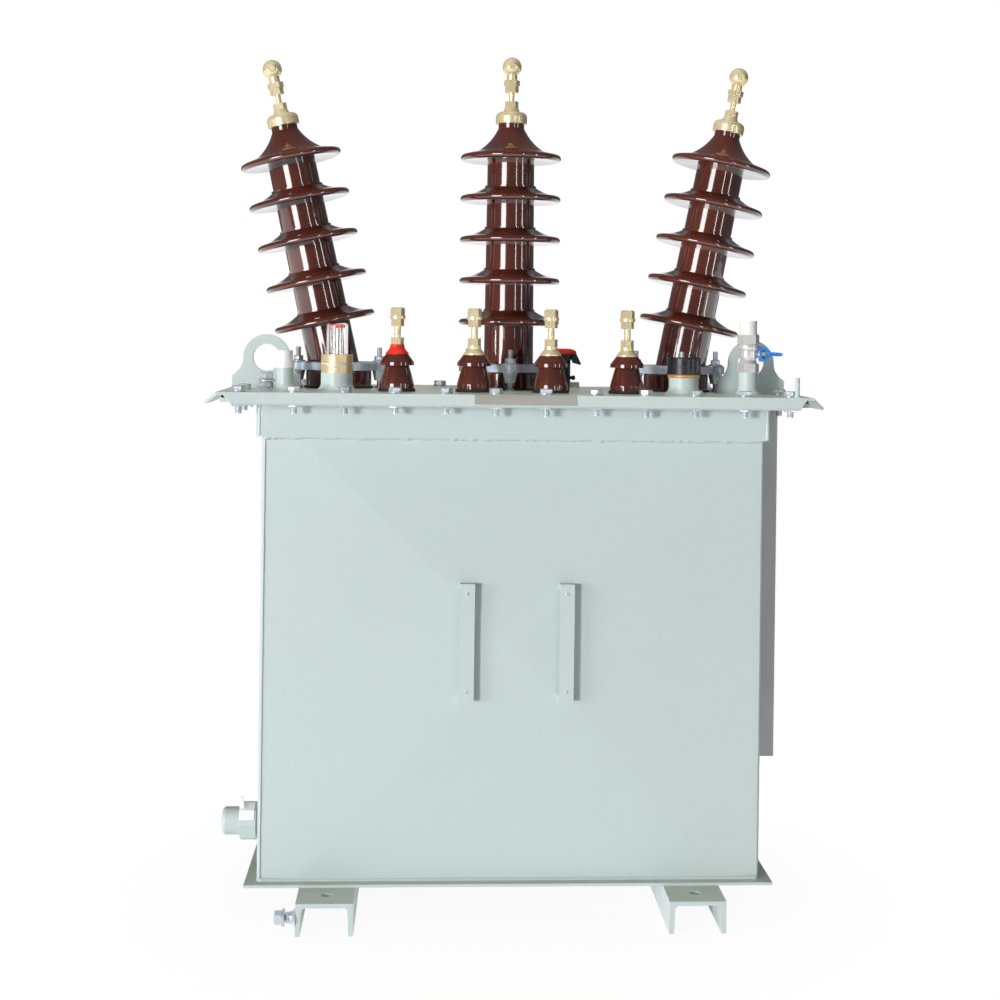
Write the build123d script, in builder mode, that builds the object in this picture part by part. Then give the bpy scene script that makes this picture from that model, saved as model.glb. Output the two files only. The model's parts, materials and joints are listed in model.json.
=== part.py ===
from build123d import *
import os
from math import cos, radians, sin

# Oil-filled distribution transformer: a welded tank on two channels, a bolted
# cover with lifting lugs, three high-voltage bushings behind, four low-voltage
# bushings in front, and the gauge, filler, valve and relief fittings.
# X runs along the tank, Y to its rear, Z up; the origin is on the floor, midway
# between the channels.

# Running gear
gauge = 520.0
channel_width = 80.0
channel_height = 45.0
channel_reach = 67.5
channel_web = 6.0
channel_leg = 8.0
channel_leg_tip = 6.5
channel_fillet = 6.0
channel_hole_r = 7.5
channel_hole_inset = 36.0

# Tank
tank_width = 720.0
tank_depth = 250.0
tank_height = 692.0
wall = 5.0
base_t = 4.0
base_overhang = 18.5
break_rise = 9.0
break_inset = 50.0
break_lift = 18.0
rim_leg_height = 57.0
rim_leg_reach = 56.0
rim_t = 10.0
rim_top_t = 6.0
rim_corner_r = 9.0

# Cover
gasket_t = 4.0
gasket_inset = 2.0
cover_side_overhang = 61.0
cover_front_overhang = 63.0
cover_t = 4.0
front_lip_length = 19.6
front_lip_angle = 50.0
side_lip_length = 24.0
side_lip_angle = 38.0
lip_end_gap = 9.0
lip_end_bevel = 14.0
bolt_reach = 32.5
front_bolt_shift = 6.0
bolt_hole_r = 5.5
bolts_long = 12
bolts_short = 5

# Fittings on the cover sit this far off its middle, as a group
fittings_shift = -3.6

# Lifting lugs
lug_offset = 1.0
lug_setback = -38.0
lug_t = 10.0
lug_base_width = 100.0
lug_foot_height = 20.0
lug_flank_half = 36.0
lug_flank_height = 35.0
lug_eye_r = 34.0
lug_hole_r = 20.0
lug_eye_height = 46.0
lug_cheek_height = 43.5

# High-voltage bushings
hv_end_inset = 101.3
hv_setback = 38.0
hv_left_tilt = 12.5
hv_right_tilt = 10.8
hv_foot_r = 49.8
hv_foot_height = 27.0
hv_foot_fillet = 3.0
hv_body_r = 38.2
hv_body_top_r = 36.0
hv_shed_r = 77.0
hv_shed_count = 5
hv_shed_pitch = 62.8
hv_first_shed_height = 102.6
hv_shed_rim_r = 5.0
hv_shed_rim_angle = 75.0
hv_shed_under = 2.5
hv_shed_shoulder = 17.5
hv_shed_mid_r = 55.0
hv_shed_mid_rise = 9.6
hv_bead_r = 1.2
hv_bead_height = 2.4
hv_flare_foot_r = 51.0
hv_flare_foot_rise = 10.7
hv_flare_r = 33.8
hv_flare_rise = 24.8
hv_neck_r = 19.8
hv_neck_rise = 46.0
hv_neck_top = 53.0
hv_clamp_t = 12.5
hv_clamp_r = 58.0
hv_clamp_gap = 2.5
hv_clamp_edge = 2.0
hv_stud_circle_r = 61.6
hv_ear_r = 14.0
hv_stud_hole_r = 4.2
hv_boss_r = 11.0
hv_boss_tip_r = 7.6
hv_boss_length = 15.5

# High-voltage terminals
hv_cap_r = 23.9
hv_cap_band = 10.5
hv_cap_height = 17.5
hv_cap_shoulder_share = 0.75
hv_step_r = 13.2
hv_step_top_r = 10.0
hv_step_height = 7.7
hv_nut_across = 18.0
hv_nut_height = 9.2
hv_stud_r = 4.0
hv_stud_length = 13.7
hv_lock_across = 18.0
hv_lock_height = 10.3
hv_top_nut_across = 21.0
hv_top_nut_height = 8.3
hv_ball_neck_r = 8.0
hv_ball_neck_length = 21.0
hv_ball_r = 14.5
hv_pin_r = 5.2
hv_pin_reach = 18.0

# Low-voltage bushings
lv_end_inset = 192.0
lv_count = 4
lv_setback = -90.0
lv_foot_r = 24.8
lv_foot_band = 11.5
lv_flank_r = 20.6
lv_flank_height = 27.0
lv_waist_r = 17.4
lv_waist_height = 38.0
lv_shed_r = 24.8
lv_shed_edge = 4.5
lv_height = 54.0
lv_shoulder_r = 16.2

# Low-voltage terminals
lv_cap_foot_r = 15.8
lv_cap_foot_height = 2.0
lv_cap_cone_height = 9.0
lv_cap_r = 9.6
lv_cap_height = 13.6
lv_nut_across = 16.5
lv_nut_height = 10.5
lv_stud_r = 4.7
lv_stud_length = 16.5
lv_lock_height = 10.6
lv_washer_r = 11.4
lv_washer_t = 4.5
lv_top_nut_height = 12.2
lv_top_nut_across = 18.0
lv_top_nut_bevel = 2.0

# Pipes and fittings on the cover
fitting_setback = -90.0
weld_height = 12.5
weld_reach = 9.0
weld_mid_share = 0.3
gauge_inset = 105.0
gauge_pipe_r = 23.0
gauge_pipe_wall = 4.0
gauge_pipe_height = 26.0
gauge_collar_r = 23.0
gauge_collar_neck_r = 21.2
gauge_collar_band = 11.5
gauge_collar_gap = 3.5
gauge_glass_r = 15.8
gauge_glass_wall = 2.5
gauge_glass_height = 47.0
gauge_glass_dome = 6.0
filler_inset = 30.0
filler_pipe_r = 12.2
filler_pipe_wall = 2.5
filler_pipe_height = 32.5
filler_flange_r = 13.6
filler_flange_t = 10.5
filler_cap_r = 11.3
filler_cap_height = 14.5
pocket_inset = 108.0
pocket_pipe_r = 21.8
pocket_pipe_wall = 3.5
pocket_pipe_height = 24.0
pocket_spigot_r = 20.0
pocket_spigot_height = 5.3
pocket_cap_r = 24.8
pocket_skirt_r = 25.3
pocket_skirt_height = 3.0
pocket_cap_height = 24.5
pocket_cap_chamfer = 1.2

# Ball valve and its butterfly handle
valve_inset = 13.0
valve_pipe_r = 14.4
valve_pipe_bore_r = 9.0
valve_pipe_height = 33.0
valve_across = 28.4
valve_hex_height = 13.0
valve_neck_r = 11.6
valve_neck_height = 5.0
valve_waist_r = 12.8
valve_waist_height = 4.5
valve_mid_r = 13.8
valve_mid_height = 9.5
valve_bulge_r = 15.2
valve_bulge_height = 10.5
valve_cap_foot_r = 13.4
valve_cap_foot_height = 3.0
valve_cap_r = 12.6
valve_cap_height = 20.5
valve_cap_edge = 1.0
stem_r = 3.5
stem_boss_r = 5.8
stem_boss_reach = 16.5
stem_tip = 4.0
stem_clearance = 0.3
handle_t = 2.5
handle_hub_r = 11.0
handle_gap = 0.5
handle_width = 14.0
rib_mid = 8.5
rib_mid_half = 9.2
rib_length = 16.5
rib_t = 4.2
neck_height = 3.6
window_end = 13.0
blade_offset = 24.5
blade_half_length = 6.2
blade_half_height = 2.9
blade_span = 38.0

# Pressure relief device
relief_x = 73.0
relief_setback = -43.0
relief_hex_across = 26.0
relief_hex_height = 14.0
relief_body_r = 15.8
relief_body_height = 57.0
relief_flare_height = 10.0
relief_lid_r = 22.5
relief_lid_t = 3.2
relief_lid_crown_r = 18.0
relief_lid_crown_rise = 2.8
relief_stub_r = 2.4
relief_stub_reach = 23.0
relief_stub_rise = 21.0

# Plate brackets on the front wall
bracket_spacing = 143.0
bracket_offset = 5.5
bracket_width = 20.8
bracket_height = 168.0
bracket_t = 3.0
bracket_standoff = 10.0
bracket_foot = 8.0
bracket_hole_r = 2.2
bracket_hole_inset = 14.0
bracket_rise = 344.0

# Drain fitting on the left wall
drain_setback = -60.0
drain_rise = 68.0
drain_pipe_r = 17.0
drain_pipe_length = 8.0
drain_boss_across = 52.0
drain_boss_length = 23.0
drain_cap_r = 20.0
drain_cap_length = 27.0
drain_cap_round = 6.0

# Cable duct on the right wall
duct_reach = 35.0
duct_depth = 90.0
duct_setback = -15.0
duct_rise = 161.0
duct_edge_r = 2.0

overrun = 1.0

floor_z = channel_height
tank_bottom = floor_z + base_t
tank_top = tank_bottom + tank_height
rim_bottom = tank_top - rim_leg_height
cover_bottom = tank_top + gasket_t
cover_top = cover_bottom + cover_t
half_width = tank_width / 2
half_depth = tank_depth / 2
cover_width = tank_width + 2 * cover_side_overhang
cover_depth = tank_depth + 2 * cover_front_overhang
channel_length = tank_depth + 2 * (base_overhang + channel_reach)
break_half_width = half_width - break_inset
hv_height = hv_first_shed_height + (hv_shed_count - 1) * hv_shed_pitch + hv_neck_top


def channel(x):
    """Rolled channel, legs down, running front to rear under the base."""
    half = channel_width / 2
    with BuildPart() as rail:
        with BuildSketch(Plane(origin=(x, -channel_length / 2, 0), x_dir=(1, 0, 0), z_dir=(0, -1, 0))):
            with BuildLine():
                Polyline(
                    (-half, 0),
                    (-half, channel_height),
                    (half, channel_height),
                    (half, 0),
                    (half - channel_leg_tip, 0),
                    (half - channel_leg, channel_height - channel_web),
                    (channel_leg - half, channel_height - channel_web),
                    (channel_leg_tip - half, 0),
                    close=True,
                )
            make_face()
        extrude(amount=-channel_length)
        inner = rail.edges().filter_by(Axis.Y).group_by(Axis.Z)[-2]
        fillet(inner, channel_fillet)
        with Locations((x, 0, channel_height)):
            with GridLocations(0, channel_length - 2 * channel_hole_inset, 1, 2):
                Hole(channel_hole_r, channel_web + overrun)
    return rail.part


def creased_block(side, foot, face):
    """Solid whose face is creased from corner to corner and bows out.

    side is -1 to bow to the front and 1 to the rear; foot is its flat back.
    """
    crest = face + side * break_rise
    mid_z = (tank_bottom + rim_bottom) / 2 + break_lift
    edge = crest - side * break_rise * half_width / break_half_width
    with BuildPart() as block:
        with BuildSketch(Plane.YZ.offset(-half_width)):
            with BuildLine():
                Polyline(
                    (foot, tank_bottom),
                    (face, tank_bottom),
                    (crest, mid_z),
                    (face, rim_bottom),
                    (face, tank_top),
                    (foot, tank_top),
                    close=True,
                )
            make_face()
        extrude(amount=tank_width)
        with BuildSketch(Plane.XY.offset(tank_bottom)):
            with BuildLine():
                Polyline(
                    (-half_width, foot),
                    (-half_width, edge),
                    (0, crest),
                    (half_width, edge),
                    (half_width, foot),
                    close=True,
                )
            make_face()
        extrude(amount=tank_height, mode=Mode.INTERSECT)
    return block.part


def broken_sheet(side):
    """Front (-1) or rear (1) sheet of the tank, creased on both faces."""
    outer = side * half_depth
    inner = outer - side * wall
    with BuildPart() as sheet:
        add(creased_block(side, inner, outer))
        add(creased_block(side, inner - side * wall, inner), mode=Mode.SUBTRACT)
    return sheet.part


def bolt_places():
    """Places of the cover bolts, round a rectangle over the rim's flange.

    Between the corners the front row is set a little to the right.
    """
    reach_x = half_width + bolt_reach
    reach_y = half_depth + bolt_reach
    places = []
    for n in range(bolts_long):
        x = reach_x * (2 * n / (bolts_long - 1) - 1)
        shift = front_bolt_shift if 0 < n < bolts_long - 1 else 0
        places += [(x + shift, -reach_y), (x, reach_y)]
    for n in range(1, bolts_short - 1):
        y = reach_y * (2 * n / (bolts_short - 1) - 1)
        places += [(-reach_x, y), (reach_x, y)]
    return places


def upright(frame):
    """Drawing plane through a fitting's axis: local X outward, local Y up."""
    return Plane(origin=frame.origin, x_dir=frame.x_dir, z_dir=-frame.y_dir)


def on_cover(x, y):
    """Frame on the cover's top face at the place given."""
    return Plane(origin=(x, y, cover_top), x_dir=(1, 0, 0), z_dir=(0, 0, 1))


def tube(frame, radius, bore, height):
    """Upright pipe with a hollow-faced weld flare round its foot."""
    mid = (radius + weld_mid_share * weld_reach, weld_mid_share * weld_height)
    with BuildPart() as pipe:
        with BuildSketch(upright(frame)):
            with BuildLine():
                Polyline(
                    (radius, weld_height),
                    (radius, height),
                    (bore, height),
                    (bore, 0),
                    (radius + weld_reach, 0),
                )
                ThreePointArc((radius + weld_reach, 0), mid, (radius, weld_height))
            make_face()
        revolve(axis=Axis(frame.origin, frame.z_dir))
    return pipe.part


def turned(frame, points):
    """Round solid turned about a frame's axis from (radius, height) points."""
    with BuildPart() as round_part:
        with BuildSketch(upright(frame)):
            with BuildLine():
                Polyline(*points, close=True)
            make_face()
        revolve(axis=Axis(frame.origin, frame.z_dir))
    return round_part.part


def hexagon(frame, across, height):
    """Hexagonal prism standing on a frame."""
    with BuildPart() as prism:
        with BuildSketch(frame):
            RegularPolygon(across / 2, 6, major_radius=False)
        extrude(amount=height)
    return prism.part


def hv_axis(x, tilt):
    """Frame at the foot of a tall bushing, leaning to the right by tilt degrees."""
    lean = radians(tilt)
    return Plane(
        origin=(x, hv_setback, cover_top),
        x_dir=(cos(lean), 0, -sin(lean)),
        z_dir=(sin(lean), 0, cos(lean)),
    )


def hv_body(height):
    """Radius of the tapering shaft at a height on its axis."""
    return hv_body_r + (hv_body_top_r - hv_body_r) * height / (hv_height - hv_neck_top)


def hv_shaft(frame):
    """Shaft with its sheds, turned about a leaning axis in one outline.

    Each shed has a rounded edge, a nearly flat underside and a hollow upper
    face that ends in a small bead; the uppermost one flares up to the cap.
    """
    foot = hv_foot_height / 2
    centre_r = hv_shed_r - hv_shed_rim_r
    turn = radians(hv_shed_rim_angle)
    bead_r = hv_body_r + hv_bead_r
    with BuildPart() as shaft:
        with BuildSketch(upright(frame)):
            with BuildLine():
                last = (hv_body(foot), foot)
                Line((0, foot), last)
                for n in range(hv_shed_count):
                    rim = hv_first_shed_height + n * hv_shed_pitch
                    root = rim - hv_shed_rim_r + hv_shed_under
                    underside = (centre_r, rim - hv_shed_rim_r)
                    crest = (centre_r + hv_shed_rim_r * cos(turn), rim + hv_shed_rim_r * sin(turn))
                    Polyline(last, (hv_body(root), root), underside)
                    ThreePointArc(underside, (hv_shed_r, rim), crest)
                    if n < hv_shed_count - 1:
                        bead = rim + hv_shed_shoulder
                        bead_top = bead + hv_bead_height
                        last = (hv_body(bead_top), bead_top)
                        ThreePointArc(crest, (hv_shed_mid_r, rim + hv_shed_mid_rise), (bead_r, bead))
                        Polyline((bead_r, bead), (bead_r, bead_top), last)
                flare_foot = (hv_flare_foot_r, rim + hv_flare_foot_rise)
                neck = (hv_neck_r, rim + hv_neck_rise)
                Line(crest, flare_foot)
                ThreePointArc(flare_foot, (hv_flare_r, rim + hv_flare_rise), neck)
                Polyline(neck, (hv_neck_r, hv_height), (0, hv_height), (0, foot))
            make_face()
        revolve(axis=Axis(frame.origin, frame.z_dir))
    return shaft.part


def hv_porcelain(x, tilt):
    """Shedded porcelain on a level foot; the shaft leans with the bushing."""
    with BuildPart() as porcelain:
        with BuildSketch(on_cover(x, hv_setback)):
            Circle(hv_foot_r)
        extrude(amount=hv_foot_height)
        fillet(porcelain.edges().group_by(Axis.Z)[-1], hv_foot_fillet)
        add(hv_shaft(hv_axis(x, tilt)))
    return porcelain.part


def hv_clamp(x, tilt):
    """Cast clamping ring with four ears, each on a tapered boss for its stud."""
    ring = on_cover(x, hv_setback).offset(hv_foot_height)
    with BuildPart() as clamp:
        with BuildSketch(ring):
            Circle(hv_clamp_r)
            with PolarLocations(hv_stud_circle_r, 4):
                Circle(hv_ear_r)
        extrude(amount=hv_clamp_t)
        chamfer(clamp.faces().sort_by(Axis.Z)[-1].outer_wire().edges(), hv_clamp_edge)
        with Locations(ring.location):
            with PolarLocations(hv_stud_circle_r, 4):
                Cone(hv_boss_tip_r, hv_boss_r, hv_boss_length, align=(Align.CENTER, Align.CENTER, Align.MAX))
        with BuildSketch(ring.offset(-hv_boss_length)):
            with PolarLocations(hv_stud_circle_r, 4):
                Circle(hv_stud_hole_r)
        extrude(amount=hv_boss_length + hv_clamp_t, mode=Mode.SUBTRACT)
        with BuildSketch(hv_axis(x, tilt)):
            Circle(hv_body_r + hv_clamp_gap)
        extrude(amount=hv_foot_height + 2 * hv_clamp_t, mode=Mode.SUBTRACT)
    return clamp.part


def hv_terminal(x, tilt):
    """Domed cap, tapered seat, stud with its nuts, and the ball end with a pin."""
    foot = hv_axis(x, tilt).offset(hv_height)
    round_r = hv_cap_r - hv_step_r
    round_height = hv_cap_height - hv_cap_band
    shoulder = (
        hv_cap_r - round_r * (1 - hv_cap_shoulder_share),
        hv_cap_band + round_height * hv_cap_shoulder_share,
    )
    step_top = hv_cap_height + hv_step_height
    stud_foot = step_top + hv_nut_height
    lock = stud_foot + hv_stud_length
    top_nut = lock + hv_lock_height
    neck = top_nut + hv_top_nut_height
    neck_top = neck + hv_ball_neck_length
    ball = foot.offset(neck_top)
    with BuildPart() as terminal:
        with BuildSketch(upright(foot)):
            with BuildLine():
                Polyline((0, 0), (hv_cap_r, 0), (hv_cap_r, hv_cap_band))
                ThreePointArc((hv_cap_r, hv_cap_band), shoulder, (hv_step_r, hv_cap_height))
                Polyline((hv_step_r, hv_cap_height), (hv_step_top_r, step_top), (0, step_top), (0, 0))
            make_face()
        revolve(axis=Axis(foot.origin, foot.z_dir))
        add(hexagon(foot.offset(step_top), hv_nut_across, hv_nut_height))
        add(hexagon(foot.offset(lock), hv_lock_across, hv_lock_height))
        add(hexagon(foot.offset(top_nut), hv_top_nut_across, hv_top_nut_height))
        add(turned(foot, [(0, stud_foot), (hv_stud_r, stud_foot), (hv_stud_r, lock), (0, lock)]))
        add(turned(foot, [(0, neck), (hv_ball_neck_r, neck), (hv_ball_neck_r, neck_top), (0, neck_top)]))
        with Locations(ball.location):
            Sphere(hv_ball_r)
        with BuildSketch(Plane(origin=ball.origin, x_dir=(1, 0, 0), z_dir=(0, -1, 0))):
            Circle(hv_pin_r)
        extrude(amount=hv_pin_reach)
    return terminal.part


def lv_porcelain(x):
    """Short porcelain: waisted foot under one small shed."""
    foot = on_cover(x, lv_setback)
    lip = (lv_shed_r, lv_waist_height)
    edge = (lv_shed_r, lv_waist_height + lv_shed_edge)
    with BuildPart() as porcelain:
        with BuildSketch(upright(foot)):
            with BuildLine():
                Polyline((0, 0), (lv_foot_r, 0), (lv_foot_r, lv_foot_band))
                ThreePointArc(
                    (lv_foot_r, lv_foot_band),
                    (lv_flank_r, lv_flank_height),
                    (lv_waist_r, lv_waist_height),
                )
                Polyline(
                    (lv_waist_r, lv_waist_height),
                    lip,
                    edge,
                    (lv_shoulder_r, lv_height),
                    (0, lv_height),
                    (0, 0),
                )
            make_face()
        revolve(axis=Axis(foot.origin, foot.z_dir))
    return porcelain.part


def lv_terminal(x):
    """Flanged cap and its nut, the stud, and two nuts with washers between."""
    foot = on_cover(x, lv_setback).offset(lv_height)
    stud_foot = lv_cap_height + lv_nut_height
    lock = stud_foot + lv_stud_length
    washer = lock + lv_lock_height
    nut = washer + lv_washer_t
    with BuildPart() as terminal:
        add(
            turned(
                foot,
                [
                    (0, 0),
                    (lv_cap_foot_r, 0),
                    (lv_cap_foot_r, lv_cap_foot_height),
                    (lv_cap_r, lv_cap_cone_height),
                    (lv_cap_r, lv_cap_height),
                    (0, lv_cap_height),
                ],
            )
        )
        add(hexagon(foot.offset(lv_cap_height), lv_nut_across, lv_nut_height))
        add(turned(foot, [(0, stud_foot), (lv_stud_r, stud_foot), (lv_stud_r, lock), (0, lock)]))
        add(hexagon(foot.offset(lock), lv_nut_across, lv_lock_height))
        add(turned(foot, [(0, washer), (lv_washer_r, washer), (lv_washer_r, nut), (0, nut)]))
        add(hexagon(foot.offset(nut), lv_top_nut_across, lv_top_nut_height))
        chamfer(terminal.faces().sort_by(Axis.Z)[-1].edges(), lv_top_nut_bevel)
    return terminal.part


def save(part, name):
    part.label = name
    export_step(part, f"parts/{name}.step")


os.makedirs("parts", exist_ok=True)

# Running gear and floor
save(channel(-gauge / 2), "base_channel_left")
save(channel(gauge / 2), "base_channel_right")

with BuildPart() as base_plate:
    with BuildSketch(Plane.XY.offset(floor_z)):
        Rectangle(tank_width + 2 * base_overhang, tank_depth + 2 * base_overhang)
    extrude(amount=base_t)
save(base_plate.part, "base_plate")

# Tank walls
front_sheet = broken_sheet(-1)
save(front_sheet, "front_wall")
save(broken_sheet(1), "rear_wall")

for name, side in (("left_wall", -1), ("right_wall", 1)):
    with BuildPart() as end_wall:
        with BuildSketch(Plane.XY.offset(tank_bottom)):
            with Locations((side * (half_width - wall / 2), 0)):
                Rectangle(wall, tank_depth - 2 * wall)
        extrude(amount=tank_height)
    save(end_wall.part, name)

# Rim angle: a band round the wall head and the bolting flange
with BuildPart() as rim_angle:
    with BuildSketch(Plane.XY.offset(rim_bottom)):
        RectangleRounded(tank_width + 2 * rim_t, tank_depth + 2 * rim_t, rim_corner_r)
        Rectangle(tank_width, tank_depth, mode=Mode.SUBTRACT)
    extrude(amount=rim_leg_height)
    with BuildSketch(Plane.XY.offset(tank_top - rim_top_t)):
        Rectangle(tank_width + 2 * rim_leg_reach, tank_depth + 2 * rim_leg_reach)
        Rectangle(tank_width, tank_depth, mode=Mode.SUBTRACT)
    extrude(amount=rim_top_t)
    with BuildSketch(Plane.XY.offset(tank_top - rim_top_t)):
        with Locations(*bolt_places()):
            Circle(bolt_hole_r)
    extrude(amount=rim_top_t, mode=Mode.SUBTRACT)
save(rim_angle.part, "rim_angle")

# Gasket and cover
with BuildPart() as cover_gasket:
    with BuildSketch(Plane.XY.offset(tank_top)):
        Rectangle(
            tank_width + 2 * (rim_leg_reach - gasket_inset),
            tank_depth + 2 * (rim_leg_reach - gasket_inset),
        )
        Rectangle(tank_width, tank_depth, mode=Mode.SUBTRACT)
        with Locations(*bolt_places()):
            Circle(bolt_hole_r, mode=Mode.SUBTRACT)
    extrude(amount=gasket_t)
save(cover_gasket.part, "cover_gasket")

with BuildPart() as cover_plate:
    with BuildSketch(Plane.XY.offset(cover_bottom)):
        Rectangle(cover_width, cover_depth)
        with Locations(*bolt_places()):
            Circle(bolt_hole_r, mode=Mode.SUBTRACT)
    extrude(amount=cover_t)
    for turn, length, reach, lip_length, lip_angle in (
        (0, cover_width, cover_depth / 2, front_lip_length, front_lip_angle),
        (90, cover_depth, cover_width / 2, side_lip_length, side_lip_angle),
        (180, cover_width, cover_depth / 2, front_lip_length, front_lip_angle),
        (270, cover_depth, cover_width / 2, side_lip_length, side_lip_angle),
    ):
        slope = radians(lip_angle)
        out = Vector(sin(radians(turn)), -cos(radians(turn)), 0)
        along = Vector(cos(radians(turn)), sin(radians(turn)), 0)
        normal = out * sin(slope) + Vector(0, 0, cos(slope))
        top_half = length / 2 - lip_end_gap
        with BuildSketch(Plane(origin=out * reach + Vector(0, 0, cover_top), x_dir=along, z_dir=normal)):
            with BuildLine():
                Polyline(
                    (-top_half, 0),
                    (lip_end_bevel - top_half, -lip_length),
                    (top_half - lip_end_bevel, -lip_length),
                    (top_half, 0),
                    close=True,
                )
            make_face()
        extrude(amount=-cover_t)
save(cover_plate.part, "cover_plate")

# Lifting lugs: hollow flanks run up from the base to a round eye
for name, side in (("lifting_lug_left", -1), ("lifting_lug_right", 1)):
    lug_face = Plane(
        origin=(side * (half_width + lug_offset) + fittings_shift, lug_setback - lug_t / 2, cover_top),
        x_dir=(1, 0, 0),
        z_dir=(0, -1, 0),
    )
    cheek = (lug_eye_r**2 - (lug_cheek_height - lug_eye_height) ** 2) ** (1 / 2)
    foot_half = lug_base_width / 2
    with BuildPart() as lug:
        with BuildSketch(lug_face):
            with BuildLine():
                ThreePointArc(
                    (-cheek, lug_cheek_height),
                    (-lug_flank_half, lug_flank_height),
                    (-foot_half, lug_foot_height),
                )
                Polyline(
                    (-foot_half, lug_foot_height),
                    (-foot_half, 0),
                    (foot_half, 0),
                    (foot_half, lug_foot_height),
                )
                ThreePointArc(
                    (foot_half, lug_foot_height),
                    (lug_flank_half, lug_flank_height),
                    (cheek, lug_cheek_height),
                )
                ThreePointArc(
                    (cheek, lug_cheek_height),
                    (0, lug_eye_height + lug_eye_r),
                    (-cheek, lug_cheek_height),
                )
            make_face()
            with Locations((0, lug_eye_height)):
                Circle(lug_hole_r, mode=Mode.SUBTRACT)
        extrude(amount=-lug_t)
    save(lug.part, name)

# High-voltage bushings
for name, side, tilt in (("left", -1, -hv_left_tilt), ("middle", 0, 0), ("right", 1, hv_right_tilt)):
    x = side * (half_width - hv_end_inset) + fittings_shift
    save(hv_porcelain(x, tilt), f"hv_porcelain_{name}")
    save(hv_clamp(x, tilt), f"hv_clamp_{name}")
    save(hv_terminal(x, tilt), f"hv_terminal_{name}")

# Low-voltage bushings
for n in range(lv_count):
    x = (half_width - lv_end_inset) * (2 * n / (lv_count - 1) - 1) + fittings_shift
    save(lv_porcelain(x), f"lv_porcelain_{n + 1}")
    save(lv_terminal(x), f"lv_terminal_{n + 1}")

# Oil level gauge: a glass dome held in a grooved collar on its pipe
gauge_foot = on_cover(gauge_inset - half_width + fittings_shift, fitting_setback)
save(tube(gauge_foot, gauge_pipe_r, gauge_pipe_r - gauge_pipe_wall, gauge_pipe_height), "gauge_pipe")
collar_foot = gauge_foot.offset(gauge_pipe_height)
collar_height = 2 * gauge_collar_band + gauge_collar_gap
gauge_collar = turned(
    collar_foot,
    [
        (gauge_glass_r, 0),
        (gauge_collar_r, 0),
        (gauge_collar_r, gauge_collar_band),
        (gauge_collar_neck_r, gauge_collar_band),
        (gauge_collar_neck_r, gauge_collar_band + gauge_collar_gap),
        (gauge_collar_r, gauge_collar_band + gauge_collar_gap),
        (gauge_collar_r, collar_height),
        (gauge_glass_r, collar_height),
    ],
)
save(gauge_collar, "gauge_collar")
with BuildPart() as gauge_glass:
    with BuildSketch(collar_foot):
        Circle(gauge_glass_r)
    extrude(amount=collar_height + gauge_glass_height)
    fillet(gauge_glass.edges().group_by(Axis.Z)[-1], gauge_glass_dome)
    offset(amount=-gauge_glass_wall, openings=gauge_glass.faces().sort_by(Axis.Z)[0])
save(gauge_glass.part, "gauge_glass")

# Filler
filler_foot = on_cover(filler_inset - half_width + fittings_shift, fitting_setback)
save(tube(filler_foot, filler_pipe_r, filler_pipe_r - filler_pipe_wall, filler_pipe_height), "filler_pipe")
filler_cap = turned(
    filler_foot.offset(filler_pipe_height),
    [
        (0, 0),
        (filler_flange_r, 0),
        (filler_flange_r, filler_flange_t),
        (filler_cap_r, filler_flange_t),
        (filler_cap_r, filler_flange_t + filler_cap_height),
        (0, filler_flange_t + filler_cap_height),
    ],
)
save(filler_cap, "filler_cap")

# Thermometer pocket
pocket_foot = on_cover(half_width - pocket_inset + fittings_shift, fitting_setback)
save(tube(pocket_foot, pocket_pipe_r, pocket_pipe_r - pocket_pipe_wall, pocket_pipe_height), "pocket_pipe")
skirt_top = pocket_spigot_height + pocket_skirt_height
crown = pocket_spigot_height + pocket_cap_height
pocket_cap = turned(
    pocket_foot.offset(pocket_pipe_height),
    [
        (0, 0),
        (pocket_spigot_r, 0),
        (pocket_spigot_r, pocket_spigot_height),
        (pocket_skirt_r, pocket_spigot_height),
        (pocket_skirt_r, skirt_top),
        (pocket_cap_r, skirt_top),
        (pocket_cap_r, crown - pocket_cap_chamfer),
        (pocket_cap_r - pocket_cap_chamfer, crown),
        (0, crown),
    ],
)
save(pocket_cap, "pocket_cap")

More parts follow.
